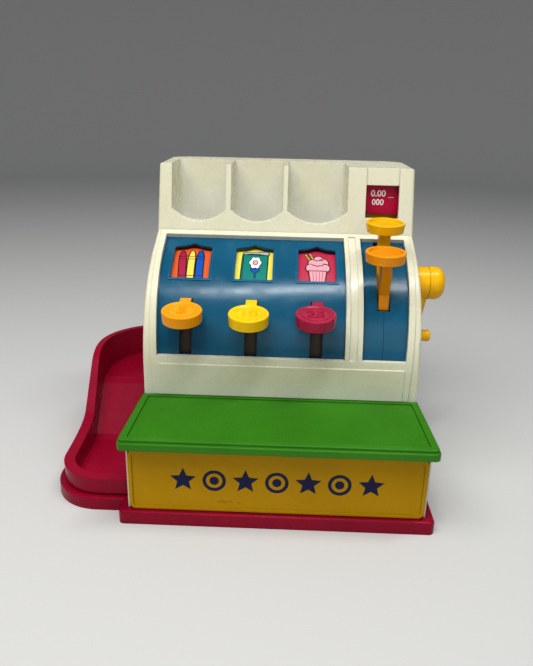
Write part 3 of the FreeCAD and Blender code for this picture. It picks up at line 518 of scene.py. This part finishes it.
def cup_card():
    """A cup of ice cream with two straws; what stands in front is printed over what is behind."""
    def balls(*places):
        return [circle(u, v, r, 24, squash) for u, v, r, squash in places]

    cup = [(-6.4, 10.0), (-4.6, PICTURE_FOOT), (5.4, PICTURE_FOOT), (7.4, 10.0)]
    flutes = [bar((x * 0.75 + 0.5, PICTURE_FOOT), (x + 0.6, 9.4), 0.2) for x in (-4.0, -1.4, 1.4, 4.0)]
    peak = balls((1.4, 22.2, 4.0, 1.2))
    middle = balls((5.6, 19.0, 3.6, 1.25), (-3.4, 18.4, 3.4, 1.25), (1.2, 17.6, 3.6, 1.1))
    scoops = balls((-5.4, 13.4, 3.3, 1.2), (-1.6, 12.0, 3.2, 1.2), (3.0, 11.8, 3.4, 1.2),
                   (7.0, 13.6, 3.2, 1.2))
    curls = [turned(rect(2.2, 5.6, 22.0, 22.6), -25, (3.9, 22.3)),
             turned(rect(5.4, 8.2, 17.6, 18.2), -35, (6.8, 17.9))]
    straw_ends = (((-4.6, 20.0), (-9.0, 29.0)), ((-2.4, 22.0), (-5.6, 30.6)))
    straws = [bar(low_end, high_end, 0.7) for low_end, high_end in straw_ends]
    stripes = []
    for (u0, v0), (u1, v1) in straw_ends:
        for k in range(1, 5):
            u, v = u0 + (u1 - u0) * k / 5, v0 + (v1 - v0) * k / 5
            stripes.append(bar((u - 0.75, v - 0.5), (u + 0.75, v + 0.5), 0.3))
    picture("red", [
        ("straws", straws, "ink_yellow", 0.6),
        ("stripes", stripes, "black", 0),
        ("peak", peak, "ink_pink", 0.8),
        ("middle", middle, "ink_pink", 0.8),
        ("scoops", scoops, "ink_pink", 0.8),
        ("curls", curls, "black", 0),
        ("cup", [cup], "ink_pink", 0.8),
        ("flutes", flutes, "ink_red", 0)])


# ---- panel trim ---------------------------------------------------------
def window_trim():
    """A fine raised line beside and below each picture window, in a paler teal as a painted highlight, and
    the seam under the levers' slot.
    """
    inner, line = WINDOW_HALF + 1.4, 0.45
    outer = inner + line
    for colour, card in CARDS.items():
        low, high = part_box(card)
        place = on_panel((low.x + high.x) / 2)
        sides = [rect(-outer, -inner, -1.6, 36.0), rect(inner, outer, -1.6, 36.0)]
        trims = (("line", sides, -0.2, 0.18),
                 ("sill", [rect(-outer, outer, -2.2, -1.2)], -0.3, 0.6),
                 ("lip", [rect(-inner + 1.2, inner - 1.2, -0.7, -0.1)], -0.3, 0.25))
        for name, outlines, foot, height in trims:
            slabs(f"window_{name}_{colour}", outlines, place, foot, height, "teal_painted_highlight", "register")
    slot_x = CAPS["yellow_lever"][0][0] * MM
    seam = rect(-0.12, 0.12, -62.0, -25.2)
    slabs("panel_seam", [seam], on_panel(slot_x), -0.2, 0.1, "teal_dark", "register")


# ---- signs and motifs ---------------------------------------------------
def text_mesh(name, text, size, depth, bevel, material, body, matrix):
    """Plain digits in the matrix's XY plane: swollen solids or, with no depth, raised outlines."""
    curve = bpy.data.curves.new(name + "_font", "FONT")
    curve.body = text
    curve.align_x = "CENTER"
    curve.align_y = "CENTER"
    curve.size = size * MM
    if depth:
        curve.extrude = depth * MM
        curve.offset = 0.16 * MM        # makes the strokes bolder
    else:
        curve.fill_mode = "NONE"
    curve.bevel_depth = bevel * MM
    curve.resolution_u = 6
    holder = bpy.data.objects.new(name + "_font", curve)
    mesh = bpy.data.meshes.new_from_object(holder)
    bpy.data.objects.remove(holder)
    bpy.data.curves.remove(curve)
    mesh.name = name
    mesh.transform(matrix)
    mesh.materials.clear()
    mesh.materials.append(MAT[material])
    obj = add_object(name, mesh)
    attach(obj, body)


def sign_figures():
    """White figures and a fine line on the crimson card behind the sign window."""
    low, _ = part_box("sign_card")
    x = low.x + 15.0 * MM
    rows = (("sign_figures", "0.00", 7.4, 221.5), ("sign_figures_low", "000", 6.8, 214.1))
    for name, text, size, z in rows:
        matrix = Matrix.Translation((x, low.y, z * MM)) @ Matrix.Rotation(math.pi / 2, 4, "X")
        text_mesh(name, text, size, 0.12, 0.0, "white", "orange_lever", matrix)
    line = rect(8.4, 13.6, -0.16, 0.16)
    place = on_front(Vector((x, low.y, 218.5 * MM)))
    slabs("sign_line", [line], place, -0.05, 0.1, "white", "orange_lever", FLAT)


def star(u, v, r):
    """A five-pointed star."""
    out = []
    for i in range(10):
        a = math.pi / 2 + i * math.pi / 5
        reach = r if i % 2 == 0 else r * 0.45
        out.append((u + reach * math.cos(a), v + reach * math.sin(a)))
    return out


def ring_plate(bm, centre, outer, inner, low, high, count=48):
    """Adds a flat closed ring that faces the child; its centre is in metres."""
    corners = ((outer, low), (outer, high), (inner, high), (inner, low))
    rows = []
    for i in range(count):
        a = 2 * math.pi * i / count
        section = [Vector((r * math.cos(a), -w, r * math.sin(a))) for r, w in corners]
        rows.append([bm.verts.new(centre + corner * MM) for corner in section])
    skin_ring(bm, rows)


def drawer_motif():
    """A row of plain printed coins and stars across the drawer's front."""
    low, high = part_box("drawer")
    origin = Vector((0, low.y + DRAWER_FIELD * MM, (low.z + high.z) / 2 + 1.0 * MM))
    pitch, coin_r, ring_width, dot_r, star_r = 22.5, 8.4, 2.4, 3.3, 9.66
    foot, top = -0.02, 0.12
    solid = []
    rings = bmesh.new()
    for i in range(-3, 4):
        u = i * pitch
        if i % 2 == 0:
            ring_plate(rings, origin + Vector((u * MM, 0, 0)), coin_r, coin_r - ring_width, foot, top)
            solid.append(circle(u, 0, dot_r))
        else:
            solid.append(star(u, 0, star_r))
    mesh_piece("drawer_coin_rings", rings, "navy", "cash_drawer")
    slabs("drawer_motif", solid, on_front(origin), foot, top, "navy", "cash_drawer", FLAT)


def drawer_scuffs():
    """A few brown scratches low on the drawer's front."""
    low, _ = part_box("drawer")
    place = on_front(Vector((-36.0 * MM, low.y + DRAWER_FIELD * MM, low.z + 8.5 * MM)))
    marks = []
    for _ in range(11):
        u, v = random.uniform(-8, 8), random.uniform(-1.3, 1.3)
        length, lean = random.uniform(0.8, 3.4), random.uniform(-0.35, 0.25)
        marks.append(bar((u, v), (u + length, v + length * lean), random.uniform(0.08, 0.2)))
    slabs("drawer_scuffs", marks, place, -0.02, 0.04, "scuff", "cash_drawer", FLAT)


def key_faces():
    """The raised ring and the number on each key's cap."""
    for colour, number, size in (("orange", "5", 17.0), ("yellow", "10", 14.5), ("red", "25", 14.0)):
        body = colour + "_key"
        matrix, floor = cap_matrix(body), -CAPS[body][2]
        text_mesh("digits_" + colour, number, size, 0.0, 0.5, colour, body,
                  matrix @ Matrix.Translation((0, 0, (floor + 0.1) * MM)))
        ring_ridge("cap_ring_" + colour, 10.4, floor, 0.5, colour, body, matrix)


def ring_ridge(name, radius, floor, size, material, body, matrix):
    """A low round ridge in a circle, half sunk in the floor."""
    bm = bmesh.new()
    count, around, flatten = 72, 8, 0.75
    rows = []
    for i in range(count):
        a = 2 * math.pi * i / count
        row = []
        for k in range(around):
            b = 2 * math.pi * k / around
            r = radius + size * math.cos(b)
            z = floor + size * flatten * math.sin(b)
            row.append(bm.verts.new((r * math.cos(a) * MM, r * math.sin(a) * MM, z * MM)))
        rows.append(row)
    skin_ring(bm, rows)
    bm.transform(matrix)
    obj = mesh_piece(name, bm, material, body)
    for polygon in obj.data.polygons:
        polygon.use_smooth = True


def studs(name, points, half, height, material, body, matrix, base):
    """Small closed pyramids on a floor at the base height, as a moulded grip."""
    bm = bmesh.new()
    root = base - 0.1
    for u, v in points:
        corners = [bm.verts.new(((u + du) * MM, (v + dv) * MM, root * MM))
                   for du, dv in ((-half, 0), (0, -half), (half, 0), (0, half))]
        tip = bm.verts.new((u * MM, v * MM, (base + height) * MM))
        bm.faces.new(corners[::-1])
        for i in range(4):
            bm.faces.new((corners[i], corners[(i + 1) % 4], tip))
    bm.transform(matrix)
    mesh_piece(name, bm, material, body)


def lever_grips():
    """Criss-cross grips in the push levers' dished caps."""
    pitch, grip_r = 1.7, 10.8
    points = []
    for i in range(-8, 9):
        for j in range(-16, 17):
            u, v = i * pitch + (j % 2) * pitch / 2, j * pitch / 2
            if math.hypot(u, v) < grip_r:
                points.append((u, v))
    for colour, material in (("orange", "deep_orange"), ("yellow", "amber")):
        body = colour + "_lever"
        matrix, floor = cap_matrix(body), -CAPS[body][2]
        studs(f"lever_grip_{colour}", points, pitch / 2, 0.5, material, body, matrix, floor)


def lid_grip():
    """The counter's fine diamond texture, as one relief sheet with a closed underside."""
    low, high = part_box("counter_lid")
    y0, y1, z = low.y + 7.4 * MM, high.y - 4.2 * MM, high.z - 1.0 * MM      # the lid's sunken field
    front_half, back_half = 105.3 * MM, 103.6 * MM
    pitch, peak = 1.3 * MM, 0.42 * MM
    nx, ny = 160, int((y1 - y0) / pitch)
    bm = bmesh.new()
    grid = []
    for j in range(ny + 1):
        row = []
        y = y0 + (y1 - y0) * j / ny
        half = front_half + (back_half - front_half) * j / ny
        for i in range(nx + 1):
            rim = i in (0, nx) or j in (0, ny)
            lift = 0.0 if rim or (i + j) % 2 else peak
            row.append(bm.verts.new((-half + 2 * half * i / nx, y, z + 0.02 * MM + lift)))
        grid.append(row)
    for j in range(ny):
        for i in range(nx):
            a, b, c, d = grid[j][i], grid[j][i + 1], grid[j + 1][i + 1], grid[j + 1][i]
            pair = ((a, b, c), (a, c, d)) if (i + j) % 2 == 0 else ((a, b, d), (b, c, d))
            for triangle in pair:
                bm.faces.new(triangle)
    border = grid[0] + [row[-1] for row in grid[1:]] + grid[-1][-2::-1] + [row[0] for row in grid[-2:0:-1]]
    under = [bm.verts.new((v.co.x, v.co.y, z - 0.2 * MM)) for v in border]
    for i in range(len(border)):
        j = (i + 1) % len(border)
        bm.faces.new((border[i], under[i], under[j], border[j]))
    bm.faces.new(under[::-1])
    mesh_piece("lid_grip", bm, "green", "register")


# ---- stage, light, camera ----------------------------------------------
def area_light(name, place, target, size, power, color=(1, 1, 1), mirrored=True):
    """A soft rectangular lamp; one that isn't mirrored doesn't show in the plastic's shine."""
    light = bpy.data.lights.new(name, "AREA")
    light.shape = "RECTANGLE"
    light.size, light.size_y = size
    light.energy = power
    light.color = color
    obj = add_object(name, light)
    obj.location = place
    obj.visible_glossy = mirrored
    obj.rotation_euler = (Vector(target) - Vector(place)).to_track_quat("-Z", "Y").to_euler()


def backdrop():
    """A pale floor that curves up into a low round wall far away."""
    flat, bend, height, steps, around = 2.2, 1.0, 1.8, 14, 96       # the first three in metres
    arc = [math.pi / 2 * i / steps for i in range(steps + 1)]
    profile = [(flat + bend * math.sin(a), bend * (1 - math.cos(a))) for a in arc] + [(flat + bend, height)]
    bm = bmesh.new()
    rings = []
    for r, z in profile:
        turns = [2 * math.pi * i / around for i in range(around)]
        rings.append([bm.verts.new((r * math.cos(a), r * math.sin(a), z)) for a in turns])
    bm.faces.new(rings[0])
    for inner, outer in zip(rings, rings[1:]):
        for i in range(around):
            j = (i + 1) % around
            bm.faces.new((inner[i], outer[i], outer[j], inner[j]))
    bmesh.ops.recalc_face_normals(bm, faces=bm.faces)
    mesh = bpy.data.meshes.new("backdrop")
    bm.to_mesh(mesh)
    bm.free()
    for polygon in mesh.polygons:
        polygon.use_smooth = len(polygon.vertices) == 4
    obj = add_object("backdrop", mesh)
    g = Graph("pale_backdrop")
    g.shader.inputs["Base Color"].default_value = (0.55, 0.55, 0.545, 1)
    g.shader.inputs["Roughness"].default_value = 0.8
    g.shader.inputs["Specular IOR Level"].default_value = 0.2
    mesh.materials.append(g.material)


def studio():
    """The backdrop, a dim even sky and three lamps: a broad key, a thin strip above and a weak fill."""
    backdrop()
    world = bpy.data.worlds.new("studio")
    world.use_nodes = True
    sky = world.node_tree.nodes["Background"]
    sky.inputs["Color"].default_value = (0.88, 0.90, 0.93, 1)
    sky.inputs["Strength"].default_value = 0.24
    bpy.context.scene.world = world
    middle = (0, 0, 0.12)
    area_light("key", (-0.46, -0.60, 1.20), middle, (1.1, 0.6), 11.0, (1.0, 0.985, 0.95), mirrored=False)
    area_light("top", (0.22, -0.33, 1.35), middle, (1.16, 0.12), 9.5)
    area_light("fill", (0.3, -1.3, 0.55), middle, (1.0, 0.8), 2.2)
    bpy.context.scene.view_settings.view_transform = "Standard"
    bpy.context.scene.view_settings.look = "Medium High Contrast"


def camera():
    """The camera stands in front, a little above the keys, and looks down at the register."""
    place = (0.0005, -0.5265, 0.2942)
    pitch, yaw, roll = (math.radians(a) for a in (19.55, -1.46, 1.31))
    forward = Vector((math.sin(yaw) * math.cos(pitch), math.cos(yaw) * math.cos(pitch), -math.sin(pitch)))
    right = Vector((math.cos(yaw), -math.sin(yaw), 0))
    up = right.cross(forward)
    side = right * math.cos(roll) + up * math.sin(roll)
    over = up * math.cos(roll) - right * math.sin(roll)
    data = bpy.data.cameras.new("camera")
    data.sensor_width = 36.0
    data.lens = 35.4
    data.clip_start = 0.01
    obj = add_object("camera", data)
    basis = Matrix((side, over, -forward)).transposed().to_4x4()
    obj.matrix_world = Matrix.Translation(place) @ basis
    bpy.context.scene.camera = obj


# ---- build --------------------------------------------------------------
random.seed(7)
camera()
studio()
paint_nodes()
crayons_card()
book_card()
cup_card()
window_trim()
sign_figures()
drawer_motif()
drawer_scuffs()
key_faces()
lever_grips()
lid_grip()
